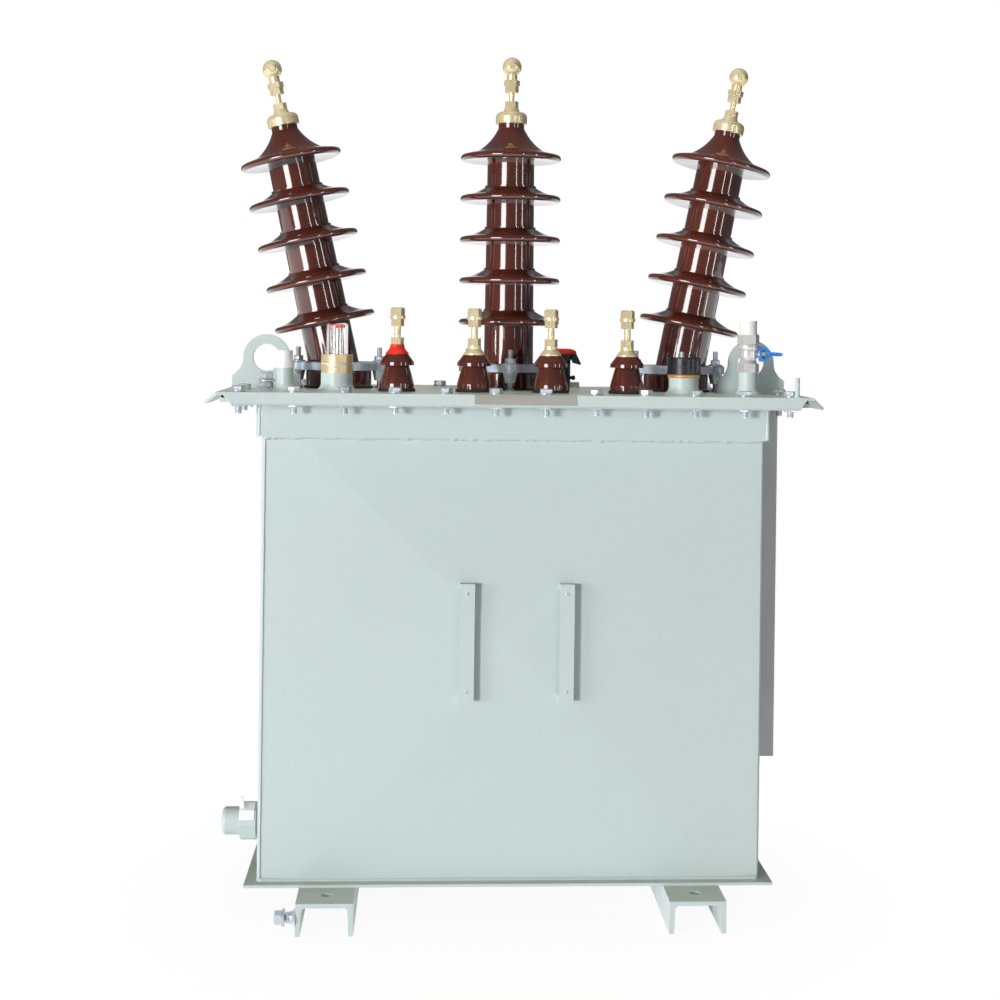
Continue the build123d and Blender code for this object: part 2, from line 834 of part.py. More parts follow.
# Valve: pipe, ball body between two hexagons, cap, and a handle on the stem
valve_x = half_width - valve_inset + fittings_shift
valve_foot = on_cover(valve_x, fitting_setback)
save(tube(valve_foot, valve_pipe_r, valve_pipe_bore_r, valve_pipe_height), "valve_pipe")
body_foot = valve_foot.offset(valve_pipe_height)
neck_top = valve_hex_height + valve_neck_height
waist_top = neck_top + valve_waist_height
mid_top = waist_top + valve_mid_height
bulge_top = mid_top + valve_bulge_height
stem_z = body_foot.origin.Z + waist_top + valve_mid_height / 2
hub_x = valve_x + stem_boss_reach + handle_gap
with BuildPart() as valve_body:
    add(hexagon(body_foot, valve_across, valve_hex_height))
    with BuildSketch(upright(body_foot)):
        with BuildLine():
            Polyline(
                (0, bulge_top),
                (0, valve_hex_height),
                (valve_mid_r, valve_hex_height),
                (valve_neck_r, neck_top),
            )
            Polyline(
                (valve_neck_r, neck_top),
                (valve_waist_r, waist_top),
                (valve_mid_r, waist_top),
                (valve_mid_r, mid_top),
            )
            ThreePointArc(
                (valve_mid_r, mid_top),
                (valve_bulge_r, (mid_top + bulge_top) / 2),
                (valve_mid_r, bulge_top),
            )
            Line((valve_mid_r, bulge_top), (0, bulge_top))
        make_face()
    revolve(axis=Axis(body_foot.origin, body_foot.z_dir))
    add(hexagon(body_foot.offset(bulge_top), valve_across, valve_hex_height))
    with BuildSketch(Plane.YZ.offset(valve_x)):
        with Locations((fitting_setback, stem_z)):
            Circle(stem_boss_r)
    extrude(amount=stem_boss_reach)
    with BuildSketch(Plane.YZ.offset(valve_x)):
        with Locations((fitting_setback, stem_z)):
            Circle(stem_r)
    extrude(amount=stem_boss_reach + handle_gap + handle_t + stem_tip)
save(valve_body.part, "valve_body")

with BuildPart() as valve_cap:
    cap_foot = body_foot.offset(bulge_top + valve_hex_height)
    with BuildSketch(cap_foot):
        Circle(valve_cap_foot_r)
    extrude(amount=valve_cap_foot_height)
    with BuildSketch(cap_foot.offset(valve_cap_foot_height)):
        Circle(valve_cap_r)
    extrude(amount=valve_cap_height - valve_cap_foot_height)
    fillet(valve_cap.edges().group_by(Axis.Z)[-1], valve_cap_edge)
save(valve_cap.part, "valve_cap")

# Butterfly handle: hub plate, two ribs closing to a neck, and the finger blade
handle_plane = Plane(origin=(hub_x, fitting_setback, stem_z), x_dir=(1, 0, 0), z_dir=(0, -1, 0))
neck_half = neck_height / 2
with BuildPart() as valve_handle:
    with BuildSketch(handle_plane):
        with BuildLine():
            ThreePointArc((0, handle_hub_r), (rib_mid, rib_mid_half), (rib_length, neck_half))
            Polyline(
                (rib_length, neck_half),
                (blade_offset, neck_half),
                (blade_offset, -neck_half),
                (rib_length, -neck_half),
            )
            ThreePointArc((rib_length, -neck_half), (rib_mid, -rib_mid_half), (0, -handle_hub_r))
            Line((0, -handle_hub_r), (0, handle_hub_r))
        make_face()
        with BuildLine():
            ThreePointArc((handle_t, handle_hub_r - rib_t), (rib_mid, rib_mid_half - rib_t), (window_end, 0))
            ThreePointArc((window_end, 0), (rib_mid, rib_t - rib_mid_half), (handle_t, rib_t - handle_hub_r))
            Line((handle_t, rib_t - handle_hub_r), (handle_t, handle_hub_r - rib_t))
        make_face(mode=Mode.SUBTRACT)
    extrude(amount=handle_width / 2, both=True)
    with BuildSketch(handle_plane):
        with Locations((blade_offset, 0)):
            Ellipse(blade_half_length, blade_half_height)
    extrude(amount=blade_span / 2, both=True)
    with BuildSketch(Plane.YZ.offset(hub_x)):
        with Locations((fitting_setback, stem_z)):
            Circle(stem_r + stem_clearance)
    extrude(amount=handle_t, mode=Mode.SUBTRACT)
save(valve_handle.part, "valve_handle")

# Pressure relief device
relief_foot = on_cover(relief_x + fittings_shift, relief_setback)
flare_foot = relief_body_height - relief_flare_height
lid_top = relief_body_height + relief_lid_t
with BuildPart() as relief_valve:
    add(hexagon(relief_foot, relief_hex_across, relief_hex_height))
    add(
        turned(
            relief_foot,
            [
                (0, relief_hex_height),
                (relief_body_r, relief_hex_height),
                (relief_body_r, flare_foot),
                (relief_lid_r, relief_body_height),
                (relief_lid_r, lid_top),
                (relief_lid_crown_r, lid_top + relief_lid_crown_rise),
                (0, lid_top + relief_lid_crown_rise),
            ],
        )
    )
    stub = relief_foot.offset(relief_stub_rise)
    with BuildSketch(Plane(origin=stub.origin, x_dir=(0, 1, 0), z_dir=(1, 0, 0))):
        Circle(relief_stub_r)
    extrude(amount=relief_stub_reach)
save(relief_valve.part, "relief_valve")

# Plate brackets on the front wall
bracket_z = tank_bottom + bracket_rise
for name, side in (("plate_bracket_left", -1), ("plate_bracket_right", 1)):
    x = bracket_offset + side * bracket_spacing / 2
    front = -half_depth - break_rise - bracket_standoff
    with BuildPart() as bracket:
        with BuildSketch(Plane.XZ.offset(-front)):
            with Locations((x, bracket_z)):
                Rectangle(bracket_width, bracket_height)
                with GridLocations(0, bracket_height - 2 * bracket_hole_inset, 1, 2):
                    Circle(bracket_hole_r, mode=Mode.SUBTRACT)
        extrude(amount=-bracket_t)
        back = Plane(origin=(x, front + bracket_t, bracket_z), x_dir=(1, 0, 0), z_dir=(0, 1, 0))
        with BuildSketch(back):
            with GridLocations(0, bracket_height - bracket_foot, 1, 2):
                Rectangle(bracket_width, bracket_foot)
        extrude(until=Until.NEXT, target=front_sheet)
    save(bracket.part, name)

# Drain fitting on the left wall
drain = Plane(
    origin=(-half_width, drain_setback, tank_bottom + drain_rise),
    x_dir=(0, 1, 0),
    z_dir=(-1, 0, 0),
)
with BuildPart() as drain_valve:
    with BuildSketch(drain):
        Circle(drain_pipe_r)
    extrude(amount=drain_pipe_length)
    with BuildSketch(drain.offset(drain_pipe_length)):
        RegularPolygon(drain_boss_across / 2, 8, major_radius=False)
    extrude(amount=drain_boss_length)
save(drain_valve.part, "drain_valve")
with BuildPart() as drain_cap:
    with BuildSketch(drain.offset(drain_pipe_length + drain_boss_length)):
        Circle(drain_cap_r)
    extrude(amount=drain_cap_length)
    fillet(drain_cap.edges().group_by(Axis.X)[0], drain_cap_round)
save(drain_cap.part, "drain_cap")

# Cable duct on the right wall, open at its foot and notched round the rim
duct_bottom = tank_bottom + duct_rise
with BuildPart() as cable_duct:
    with BuildSketch(Plane.XY.offset(duct_bottom)):
        with Locations((half_width + duct_reach / 2, duct_setback)):
            Rectangle(duct_reach, duct_depth)
    extrude(amount=tank_top - rim_top_t - duct_bottom)
    fillet(cable_duct.edges().filter_by(Axis.Z).group_by(Axis.X)[-1], duct_edge_r)
    with BuildSketch(Plane.XY.offset(rim_bottom)):
        with Locations((half_width, duct_setback)):
            Rectangle(2 * rim_t, duct_depth)
    extrude(amount=rim_leg_height, mode=Mode.SUBTRACT)
save(cable_duct.part, "cable_duct")
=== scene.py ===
"""Looks of the oil-filled distribution transformer, dressed over its CAD frame.

Sizes are in millimetres in the part's own frame and become metres where a mesh is made.
Lamps and floor are in metres, and the scales of the shader noises are per metre.
"""

import math
import random

import bpy
from mathutils import Matrix, Vector
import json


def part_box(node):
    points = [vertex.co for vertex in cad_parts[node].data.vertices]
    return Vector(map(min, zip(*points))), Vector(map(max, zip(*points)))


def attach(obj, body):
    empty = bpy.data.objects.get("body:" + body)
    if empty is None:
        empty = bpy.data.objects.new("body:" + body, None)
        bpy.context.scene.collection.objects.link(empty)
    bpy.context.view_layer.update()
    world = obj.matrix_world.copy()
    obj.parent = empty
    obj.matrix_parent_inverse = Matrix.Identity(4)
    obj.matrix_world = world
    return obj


MM = 0.001
BODY = "transformer"
HANDLE = "valve_handle"
CHANCE = random.Random(7)

UP = (0, 0, 1)
LEFTWARD = (-1, 0, 0)
RIGHTWARD = (1, 0, 0)
FORWARD = (0, -1, 0)
REARWARD = (0, 1, 0)

# Camera, fitted to the corners of the tank, cover and channels
LENS = 60.84
SENSOR = 36.0
CAMERA_AT = (-128.1, -2554.0, 844.4)
CAMERA_YAW = -3.3
CAMERA_ROLL = 0.747
SHIFT = (-0.025, -0.1728)
CLIP_END = 100.0


def make_camera():
    data = bpy.data.cameras.new("camera")
    data.lens = LENS
    data.sensor_width = SENSOR
    data.shift_x, data.shift_y = SHIFT
    data.clip_end = CLIP_END
    camera = bpy.data.objects.new("camera", data)
    bpy.context.scene.collection.objects.link(camera)
    bpy.context.scene.camera = camera
    turn = (
        Matrix.Rotation(math.radians(CAMERA_YAW), 4, "Z")
        @ Matrix.Rotation(math.radians(90), 4, "X")
        @ Matrix.Rotation(math.radians(CAMERA_ROLL), 4, "Z")
    )
    camera.matrix_world = Matrix.Translation(Vector(CAMERA_AT) * MM) @ turn


make_camera()
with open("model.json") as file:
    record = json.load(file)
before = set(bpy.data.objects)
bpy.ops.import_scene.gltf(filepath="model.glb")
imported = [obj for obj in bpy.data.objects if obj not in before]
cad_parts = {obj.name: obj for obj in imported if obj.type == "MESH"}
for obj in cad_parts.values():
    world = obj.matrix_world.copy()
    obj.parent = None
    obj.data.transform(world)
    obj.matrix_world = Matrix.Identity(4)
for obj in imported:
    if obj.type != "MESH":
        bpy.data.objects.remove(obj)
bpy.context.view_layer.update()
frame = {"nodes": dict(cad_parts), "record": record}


# Mesh parts: each function returns (points, faces) about the Z axis, in millimetres
CROWN_INSET_SHARE = 1.2
CREST_START, CREST_END = 0.38, 0.62
WASHER_EDGE_SHARE = 0.2
BOX_FACES = [(3, 2, 1, 0), (4, 5, 6, 7), (0, 1, 5, 4), (1, 2, 6, 5), (2, 3, 7, 6), (3, 0, 4, 7)]


def lathe(profile, steps=48, closed=False):
    """Turned surface from (radius, height) points; closed joins the last to the first."""
    points = []
    for k in range(steps):
        angle = 2 * math.pi * k / steps
        points += [(r * math.cos(angle), r * math.sin(angle), z) for r, z in profile]
    count = len(profile)
    faces = []
    for k in range(steps):
        here, there = k * count, (k + 1) % steps * count
        for n in range(count if closed else count - 1):
            m = (n + 1) % count
            faces.append((here + n, there + n, there + m, here + m))
    return points, faces


def rod(radius, start, end, steps):
    """Plain round bar between two heights."""
    return lathe([(0, start), (radius, start), (radius, end), (0, end)], steps)


def hexagon(across, height, crown=1.2, flat_foot=True):
    """Hexagonal nut or head with a turned-down crown, and the same below if not flat."""
    corner = across / 2 / math.cos(math.pi / 6)
    inner = corner - crown * CROWN_INSET_SHARE
    rings = [(corner, 0)] if flat_foot else [(inner, 0), (corner, crown / 2)]
    rings += [(corner, height - crown / 2), (inner, height)]
    points = []
    for r, z in rings:
        for k in range(6):
            angle = k * math.pi / 3
            points.append((r * math.cos(angle), r * math.sin(angle), z))
    faces = []
    for n in range(len(rings) - 1):
        for k in range(6):
            m = (k + 1) % 6
            faces.append((6 * n + k, 6 * n + m, 6 * n + 6 + m, 6 * n + 6 + k))
    faces.append(tuple(range(5, -1, -1)))
    top = 6 * (len(rings) - 1)
    faces.append(tuple(range(top, top + 6)))
    return points, faces


def thread(radius, length, pitch=1.5, depth=0.8, steps=20):
    """Threaded stud: a helical ridge round a plain core."""
    turns = max(1, round(length / pitch))
    rise = length / turns
    section = [(radius - depth, 0.0), (radius, CREST_START), (radius, CREST_END)]
    points = []
    rows = turns * steps
    for k in range(rows + 1):
        angle = 2 * math.pi * k / steps
        for r, share in section:
            z = min(max((k / steps + share) * rise, 0.0), length)
            points.append((r * math.cos(angle), r * math.sin(angle), z))
    faces = []
    for k in range(rows):
        a, b = 3 * k, 3 * k + 3
        faces += [(a, b, b + 1, a + 1), (a + 1, b + 1, b + 2, a + 2)]
        if k + steps <= rows - 1:
            c, d = 3 * (k + steps), 3 * (k + steps) + 3
            faces.append((a + 2, b + 2, d, c))
    return merge([(points, faces), rod(radius - depth, 0, length, steps)])


def washer(outer, inner, thick):
    edge = thick * WASHER_EDGE_SHARE
    profile = [
        (inner, 0),
        (outer - edge, 0),
        (outer, edge),
        (outer, thick - edge),
        (outer - edge, thick),
        (inner, thick),
    ]
    return lathe(profile, steps=32, closed=True)


def prism_faces(count):
    """Faces between two outlines of this many points, one after the other."""
    faces = [tuple(range(count)), tuple(range(2 * count - 1, count - 1, -1))]
    for k in range(count):
        m = (k + 1) % count
        faces.append((k, k + count, m + count, m))
    return faces


def wedge(outline, thick):
    """Flat plate with the (x, z) outline given, thick along Y."""
    points = [(x, y, z) for y in (-thick / 2, thick / 2) for x, z in outline]
    return points, prism_faces(len(outline))


def wire_tube(path, radius, sides=8):
    """Round wire along a path of points."""
    points, faces = [], []
    last = len(path) - 1
    for k, point in enumerate(path):
        ahead = (path[min(k + 1, last)] - path[max(k - 1, 0)]).normalized()
        side = ahead.cross(Vector(UP)).normalized()
        lift = side.cross(ahead)
        for j in range(sides):
            angle = 2 * math.pi * j / sides
            offset = (side * math.cos(angle) + lift * math.sin(angle)) * radius
            points.append(tuple(point + offset))
    for k in range(last):
        for j in range(sides):
            m = (j + 1) % sides
            faces.append((k * sides + j, k * sides + m, (k + 1) * sides + m, (k + 1) * sides + j))
    faces.append(tuple(range(sides - 1, -1, -1)))
    faces.append(tuple(range(last * sides, (last + 1) * sides)))
    return points, faces


def merge(parts):
    points, faces = [], []
    for some_points, some_faces in parts:
        start = len(points)
        points += some_points
        faces += [tuple(start + i for i in face) for face in some_faces]
    return points, faces


def placed(part, place, towards=UP, spin=0.0):
    """Part moved so that its foot is at place and its axis points towards."""
    turn = Vector(UP).rotation_difference(Vector(towards)).to_matrix().to_4x4()
    matrix = Matrix.Translation(Vector(place)) @ turn @ Matrix.Rotation(spin, 4, "Z")
    points, faces = part
    return [tuple(matrix @ Vector(p)) for p in points], faces


# Objects, with the angles in degrees
SHARP_ANGLE = 32.0
SOFT_ANGLE = 80.0
BEVEL_ANGLE = 40.0
BEVEL_SEGMENTS = 2
FINE_BEVEL = 0.3


def piece(name, parts, material, body=BODY, bevel=0.0, sharp=SHARP_ANGLE):
    """One object of the parts given, riding on a CAD body."""
    points, faces = merge(parts)
    mesh = bpy.data.meshes.new(name)
    mesh.from_pydata([Vector(p) * MM for p in points], [], faces)
    mesh.validate()
    for face in mesh.polygons:
        face.use_smooth = True
    mesh.set_sharp_from_angle(angle=math.radians(sharp))
    mesh.materials.append(material)
    thing = bpy.data.objects.new(name, mesh)
    bpy.context.scene.collection.objects.link(thing)
    if bevel:
        rounding = thing.modifiers.new("bevel", "BEVEL")
        rounding.width = bevel * MM
        rounding.segments = BEVEL_SEGMENTS
        rounding.limit_method = "ANGLE"
        rounding.angle_limit = math.radians(BEVEL_ANGLE)
        rounding.harden_normals = False
    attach(thing, body)
    return thing


# Materials
NOISE_START, NOISE_END = 0.3, 0.7
NOISE_ROUGHNESS = 0.55
EVEN = (1, 1, 1)


class Tree:
    """Shader nodes of a material or of the world."""

    def __init__(self, owner):
        owner.use_nodes = True
        self.nodes = owner.node_tree.nodes
        self.links = owner.node_tree.links

    def add(self, kind, **values):
        node = self.nodes.new(kind)
        for key, value in values.items():
            setattr(node, key, value)
        return node

    def link(self, start, end):
        self.links.new(start, end)

    def span(self, value, low, high, start=NOISE_START, end=NOISE_END):
        """Output from low to high as the value goes from start to end."""
        node = self.add("ShaderNodeMapRange")
        node.inputs["From Min"].default_value = start
        node.inputs["From Max"].default_value = end
        node.inputs["To Min"].default_value = low
        node.inputs["To Max"].default_value = high
        self.link(value, node.inputs["Value"])
        return node.outputs["Result"]

    def combine(self, operation, first, second):
        """Output of a sum done on two outputs."""
        node = self.add("ShaderNodeMath", operation=operation)
        self.link(first, node.inputs[0])
        self.link(second, node.inputs[1])
        return node.outputs["Value"]

    def component(self, vector, axis):
        node = self.add("ShaderNodeSeparateXYZ")
        self.link(vector, node.inputs["Vector"])
        return node.outputs[axis]

    def blend(self, share, first, second):
        """Shader between two shaders."""
        node = self.add("ShaderNodeMixShader")
        self.link(share, node.inputs["Fac"])
        self.link(first, node.inputs[1])
        self.link(second, node.inputs[2])
        return node.outputs["Shader"]

    def seen_by_lens(self, path):
        """1 for what the lens sees, straight or through glass."""
        straight, through = path.outputs["Is Camera Ray"], path.outputs["Is Transmission Ray"]
        return self.combine("MAXIMUM", straight, through)


class Finish(Tree):
    """Shader nodes of one material on the object's own coordinates."""

    def __init__(self, name):
        self.material = bpy.data.materials.new(name)
        super().__init__(self.material)
        self.shader = self.nodes["Principled BSDF"]
        self.place = self.add("ShaderNodeTexCoord").outputs["Object"]

    def noise(self, scale, detail=3.0, stretch=EVEN):
        spread = self.add("ShaderNodeMapping")
        spread.inputs["Scale"].default_value = stretch
        self.link(self.place, spread.inputs["Vector"])
        node = self.add("ShaderNodeTexNoise")
        node.inputs["Scale"].default_value = scale
        node.inputs["Detail"].default_value = detail
        node.inputs["Roughness"].default_value = NOISE_ROUGHNESS
        self.link(spread.outputs["Vector"], node.inputs["Vector"])
        return node.outputs["Fac"]

    def mix(self, share, first, second):
        """Colour between two colours or outputs, by an output."""
        node = self.add("ShaderNodeMix", data_type="RGBA")
        self.link(share, node.inputs[0])
        for key, value in ((6, first), (7, second)):
            if isinstance(value, bpy.types.NodeSocket):
                self.link(value, node.inputs[key])
            else:
                node.inputs[key].default_value = (*value, 1.0)
        return node.outputs[2]

    def bump(self, height, strength, distance):
        node = self.add("ShaderNodeBump")
        node.inputs["Strength"].default_value = strength
        node.inputs["Distance"].default_value = distance * MM
        self.link(height, node.inputs["Height"])
        self.link(node.outputs["Normal"], self.shader.inputs["Normal"])


def mottled(
    name,
    dark,
    light,
    rough,
    metallic=0.0,
    scale=12.0,
    grain=400.0,
    bump=0.15,
    depth=0.2,
    stretch=EVEN,
):
    """Finish mottled between two colours, with its roughness and grain varied."""
    tree = Finish(name)
    blotch = tree.span(tree.noise(scale, detail=4.0, stretch=stretch), 0.0, 1.0)
    tree.link(tree.mix(blotch, dark, light), tree.shader.inputs["Base Color"])
    gloss = tree.span(tree.noise(scale * 3, stretch=stretch), *rough)
    tree.link(gloss, tree.shader.inputs["Roughness"])
    tree.shader.inputs["Metallic"].default_value = metallic
    tree.bump(tree.noise(grain, detail=2.0, stretch=stretch), bump, depth)
    return tree


COAT_LIGHT = (0.548, 0.634, 0.630)
COAT_DARK = (0.536, 0.622, 0.618)
COAT_SPECK = (0.50, 0.57, 0.54)
COAT_ROUGH = (0.30, 0.42)
SPECK_SHARE = 0.16
# Olive dust with painted shade: faces that point up are coloured darker and olive, standing in for
# the weaker light they get.
TOP_DUST_AND_SHADE = (0.38, 0.41, 0.29)
TOP_DUST_AND_SHADE_SHARE = 0.6
DUST_SHADE_START, DUST_SHADE_END = 0.6, 0.95
STAIN = (0.34, 0.32, 0.17)
STAIN_START, STAIN_END = 0.46, 0.62
PEEL = 0.08
PEEL_DEPTH = 0.15


def make_paint():
    """Satin tank paint: faint mottling, a fine orange peel, and olive dust with painted shade,
    darker on what faces up.
    """
    tree = Finish("tank_paint")
    wide = tree.span(tree.noise(scale=5.0), 0.0, 1.0)
    fine = tree.span(tree.noise(scale=90.0, detail=4.0), 0.0, SPECK_SHARE)
    coat = tree.mix(fine, tree.mix(wide, COAT_DARK, COAT_LIGHT), COAT_SPECK)
    upward = tree.component(tree.add("ShaderNodeNewGeometry").outputs["Normal"], "Z")
    # Painted shade with the dust: the colour goes darker and olive as the face turns upward.
    dust_and_shade_share = tree.span(upward, 0.0, TOP_DUST_AND_SHADE_SHARE, DUST_SHADE_START, DUST_SHADE_END)
    stained = tree.span(tree.noise(scale=16.0, detail=5.0), 0.0, 1.0, STAIN_START, STAIN_END)
    dust_and_shade = tree.mix(stained, TOP_DUST_AND_SHADE, STAIN)
    tree.link(tree.mix(dust_and_shade_share, coat, dust_and_shade), tree.shader.inputs["Base Color"])
    tree.link(tree.span(tree.noise(scale=25.0), *COAT_ROUGH), tree.shader.inputs["Roughness"])
    tree.bump(tree.noise(scale=350.0, detail=2.0), PEEL, PEEL_DEPTH)
    return tree.material


GLAZE_IOR = 1.75
GLAZE_ROUGHNESS = 0.02
GLASS_IOR = 1.45


def make_glaze():
    """Thick brown glaze: deep, slightly uneven colour under a bright clear layer."""
    tree = mottled(
        "brown_glaze", (0.062, 0.011, 0.007), (0.118, 0.023, 0.011), (0.12, 0.2),
        scale=9, grain=60, bump=0.05, depth=0.25,
    )
    tree.shader.inputs["Coat Weight"].default_value = 1.0
    tree.shader.inputs["Coat IOR"].default_value = GLAZE_IOR
    tree.shader.inputs["Coat Roughness"].default_value = GLAZE_ROUGHNESS
    return tree.material


def make_glass():
    dark, light = (0.93, 0.95, 0.94), (1.0, 1.0, 1.0)
    tree = mottled("gauge_glass", dark, light, (0.0, 0.03), scale=30, bump=0.02)
    tree.shader.inputs["Transmission Weight"].default_value = 1.0
    tree.shader.inputs["IOR"].default_value = GLASS_IOR
    return tree.material


# Each finish: its dark and its light colour, then its least and its greatest roughness
PAINT = make_paint()
GASKET = mottled(
    "black_gasket", (0.012, 0.012, 0.014), (0.03, 0.03, 0.033), (0.5, 0.75), scale=40, bump=0.2
).material
PORCELAIN = make_glaze()
CLAMP = mottled(
    "cast_clamp", (0.56, 0.63, 0.74), (0.74, 0.81, 0.92), (0.34, 0.5),
    metallic=0.3, scale=50, grain=600, bump=0.3,
).material
BRASS = mottled(
    "pale_brass", (0.85, 0.70, 0.40), (0.94, 0.82, 0.53), (0.26, 0.31),
    metallic=0.5, scale=8, grain=250, bump=0.004, depth=0.03,
).material
GOLD = mottled(
    "collar_brass", (0.74, 0.56, 0.29), (0.88, 0.71, 0.43), (0.28, 0.4),
    metallic=0.5, scale=30, grain=900, bump=0.06, depth=0.05,
).material
ZINC = mottled(
    "zinc_plate", (0.58, 0.63, 0.69), (0.76, 0.80, 0.85), (0.26, 0.34),
    metallic=0.6, scale=20, grain=500, bump=0.02, depth=0.05,
).material
VALVE = mottled(
    "nickel_plate", (0.78, 0.77, 0.76), (0.86, 0.85, 0.84), (0.18, 0.28),
    metallic=0.5, scale=25, grain=700, bump=0.03, depth=0.05,
).material
WHITE = mottled(
    "white_plastic", (0.82, 0.82, 0.81), (0.90, 0.90, 0.89), (0.3, 0.45), scale=60, bump=0.08
).material
BLACK = mottled(
    "black_plastic", (0.010, 0.011, 0.014), (0.022, 0.023, 0.028), (0.22, 0.38), scale=60, bump=0.08
).material
BLUE = mottled(
    "blue_plastic", (0.005, 0.19, 0.66), (0.02, 0.28, 0.82), (0.25, 0.4), scale=80, bump=0.08
).material
RED = mottled(
    "red_plastic", (0.70, 0.020, 0.010), (0.82, 0.035, 0.015), (0.3, 0.45), scale=80, bump=0.08
).material
COPPER = mottled(
    "copper_ring", (0.66, 0.33, 0.12), (0.80, 0.45, 0.20), (0.3, 0.45),
    metallic=0.5, scale=80, bump=0.1,
).material
PLATE = mottled(
    "bare_plate", (0.33, 0.33, 0.29), (0.44, 0.44, 0.40), (0.35, 0.55),
    metallic=0.2, scale=30, grain=500, stretch=(0.2, 1, 1),
).material
DUCT = mottled(
    "duct_grey", (0.46, 0.475, 0.47), (0.56, 0.575, 0.575), (0.4, 0.6),
    metallic=0.2, scale=8, stretch=(1, 1, 0.3),
).material
GLASS = make_glass()

DRESS = {
    "gasket": GASKET,
    "porcelain": PORCELAIN,
    "clamp": CLAMP,
    "terminal_brass": BRASS,
    "collar_brass": GOLD,
    "gauge_glass": GLASS,
    "white_plastic": WHITE,
    "black_plastic": BLACK,
    "valve_metal": VALVE,
    "blue_handle": BLUE,
    "zinc": ZINC,
    "duct": DUCT,
}
PAINTED = ("drain_valve", "drain_cap")


def dress_nodes():
    """Gives every CAD node the finish of its slot, or paint where it has none or is PAINTED."""
    slots = {part["node"]: part["material_slot"] for part in frame["record"]["subparts"]}
    for name, node in frame["nodes"].items():
        node.data.materials.clear()
        node.data.materials.append(PAINT if name in PAINTED else DRESS.get(slots[name], PAINT))


dress_nodes()


def low(node):
    return Vector(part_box(node)[0]) / MM


def high(node):
    return Vector(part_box(node)[1]) / MM


def middle(node):
    return (low(node) + high(node)) / 2


def at_foot(node, rise=0.0):
    """Point on the node's upright axis, this far above its foot."""
    centre = middle(node)
    return centre.x, centre.y, low(node).z + rise


# Levels and places read from the frame
RIM_FLANGE_T = 6.0
WALL_T = 5.0
COVER = high("cover_plate").z
FLANGE_BOTTOM = low("cover_gasket").z - RIM_FLANGE_T
HALF_TANK = high("right_wall").x
HALF_DEPTH = high("right_wall").y + WALL_T

# Fittings on the cover stand this far off its middle, as in the part
SHIFT_X = (middle("lv_terminal_2").x + middle("lv_terminal_3").x) / 2

# Cover bolts, in the holes of the cover
BOLT_HALF_X = 392.5
BOLT_HALF_Y = 157.5
FRONT_BOLT_SHIFT = 6.0
BOLTS_LONG = 12
BOLTS_SHORT = 5
BOLT_ACROSS = 17.0
BOLT_HEAD = 6.4
BOLT_NUT = 7.5
BOLT_R = 4.9
BOLT_WASHER_R = 10.4
BOLT_WASHER_BORE = 5.2
BOLT_WASHER_T = 1.8
BOLT_END = 719.0
BOLT_END_SPREAD = 1.5
BOLT_HEAD_BEVEL = 0.4


def bolt_places():
    """Two long rows, the front one shifted but for its ends, and two short ones."""
    places = []
    for n in range(BOLTS_LONG):
        x = BOLT_HALF_X * (2 * n / (BOLTS_LONG - 1) - 1)
        shift = FRONT_BOLT_SHIFT if 0 < n < BOLTS_LONG - 1 else 0
        places += [(x + shift, -BOLT_HALF_Y), (x, BOLT_HALF_Y)]
    for n in range(1, BOLTS_SHORT - 1):
        y = BOLT_HALF_Y * (2 * n / (BOLTS_SHORT - 1) - 1)
        places += [(-BOLT_HALF_X, y), (BOLT_HALF_X, y)]
    return places


def cover_bolts():
    heads, washers, nuts, shanks = [], [], [], []
    ring = washer(BOLT_WASHER_R, BOLT_WASHER_BORE, BOLT_WASHER_T)
    head = hexagon(BOLT_ACROSS, BOLT_HEAD)
    nut = hexagon(BOLT_ACROSS, BOLT_NUT, flat_foot=False)
    for x, y in bolt_places():
        spin = CHANCE.uniform(0, math.pi)
        end = BOLT_END + CHANCE.uniform(-BOLT_END_SPREAD, BOLT_END_SPREAD)
        washers.append(placed(ring, (x, y, COVER)))
        heads.append(placed(head, (x, y, COVER + BOLT_WASHER_T), spin=spin))
        nuts.append(placed(nut, (x, y, FLANGE_BOTTOM - BOLT_NUT), spin=spin / 2))
        shanks.append(placed(thread(BOLT_R, COVER - end), (x, y, end)))
    piece("cover_bolt_heads", heads, ZINC, bevel=BOLT_HEAD_BEVEL)
    piece("cover_bolt_washers", washers, ZINC)
    piece("cover_bolt_nuts", nuts, ZINC, bevel=FINE_BEVEL)
    piece("cover_bolt_shanks", shanks, ZINC)


cover_bolts()

# Four studs round each tall bushing's clamp, with a nut, a washer and a foot ring each
STUDS = 4
STUD_CIRCLE = 61.6
STUD_R = 3.9
STUD_TOP = 810.5
STUD_PITCH = 1.25
STUD_DEPTH = 0.6
STUD_WASHER_R = 10.6
STUD_WASHER_BORE = 4.1
STUD_WASHER_T = 1.8
STUD_NUT_ACROSS = 14.0
STUD_NUT = 7.0
STUD_FOOT = [(7.2, 0), (6.4, 2.4), (4.0, 3.0), (4.0, 0)]
HV_GASKET = [(49.9, 0), (52.2, 0), (52.6, 1.0), (52.2, 2.2), (49.9, 2.4)]


